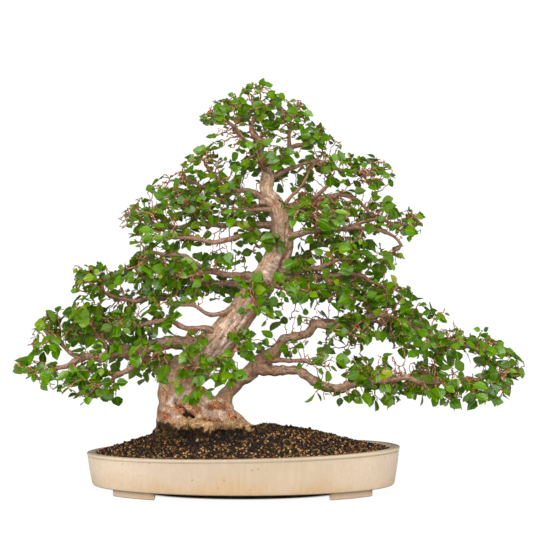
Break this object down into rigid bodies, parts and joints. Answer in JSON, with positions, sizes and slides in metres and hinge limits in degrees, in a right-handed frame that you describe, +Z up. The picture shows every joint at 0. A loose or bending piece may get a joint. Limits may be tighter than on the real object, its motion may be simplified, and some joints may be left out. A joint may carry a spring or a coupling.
{
  "type": "korean hornbeam bonsai in an oval pot",
  "caption": "Deciduous bonsai tree with a leaning, flared trunk, a low second trunk to the right and wide leafy tiers, rooted in heaped grit soil in a shallow oval glazed pot on low feet.",
  "frame": {"origin": "on the ground, under the middle of the whole plant's box", "axes": "+Z up; the tree's front, as pictured, faces -Y; +X is to the right in that view"},
  "size_m": [1.0346, 0.46, 0.8191],
  "materials": {
    "pot_glaze": "satin",
    "soil_grit": "matte",
    "bark": "matte",
    "net": "matte",
    "moss": "matte",
    "foliage": "satin"
  },
  "bodies": {
    "root": {"pot": "pot_glaze", "soil": "soil_grit", "trunk_and_limbs": "bark", "drain_net_left": "net", "drain_net_right": "net", "moss_left": "moss", "moss_right": "moss", "leaf_pad_apex_top": "foliage", "leaf_pad_apex_left": "foliage", "leaf_pad_apex_right": "foliage", "leaf_pad_apex_shoulder": "foliage", "leaf_pad_apex_front": "foliage", "leaf_pad_apex_back": "foliage", "leaf_pad_left_6_inner": "foliage", "leaf_pad_left_6_tip": "foliage", "leaf_pad_left_6_front": "foliage", "leaf_pad_left_5_tip": "foliage", "leaf_pad_left_5_inner": "foliage", "leaf_pad_left_5_front": "foliage", "leaf_pad_left_4": "foliage", "leaf_pad_left_3_tip": "foliage", "leaf_pad_left_3_upper": "foliage", "leaf_pad_left_3_inner": "foliage", "leaf_pad_left_2": "foliage", "leaf_pad_left_1_crown": "foliage", "leaf_pad_left_1_upper": "foliage", "leaf_pad_left_1_middle": "foliage", "leaf_pad_left_1_tip": "foliage", "leaf_pad_left_1_hanging": "foliage", "leaf_pad_left_1_inner": "foliage", "leaf_pad_trunk_low_front": "foliage", "leaf_pad_trunk_middle_front": "foliage", "leaf_pad_trunk_upper_front": "foliage", "leaf_pad_right_6_inner": "foliage", "leaf_pad_right_6_tip": "foliage", "leaf_pad_right_5_inner": "foliage", "leaf_pad_right_5_middle": "foliage", "leaf_pad_right_5_tip": "foliage", "leaf_pad_right_4_inner": "foliage", "leaf_pad_right_4_tip": "foliage", "leaf_pad_right_3_front": "foliage", "leaf_pad_right_3_inner": "foliage", "leaf_pad_right_3_tip": "foliage", "leaf_pad_right_2_inner": "foliage", "leaf_pad_right_2_middle": "foliage", "leaf_pad_right_2_outer": "foliage", "leaf_pad_right_2_end": "foliage", "leaf_pad_right_2_behind": "foliage", "leaf_pad_right_1_tip": "foliage", "leaf_pad_right_1_outer": "foliage", "leaf_pad_right_1_inner": "foliage", "leaf_pad_right_1_fork": "foliage", "leaf_pad_back_left_low": "foliage", "leaf_pad_back_left_middle": "foliage", "leaf_pad_back_left_high": "foliage", "leaf_pad_back_right_high": "foliage", "leaf_pad_back_right_middle": "foliage", "leaf_pad_back_right_low": "foliage", "leaf_pad_back_right_base": "foliage"}
  },
  "joints": []
}
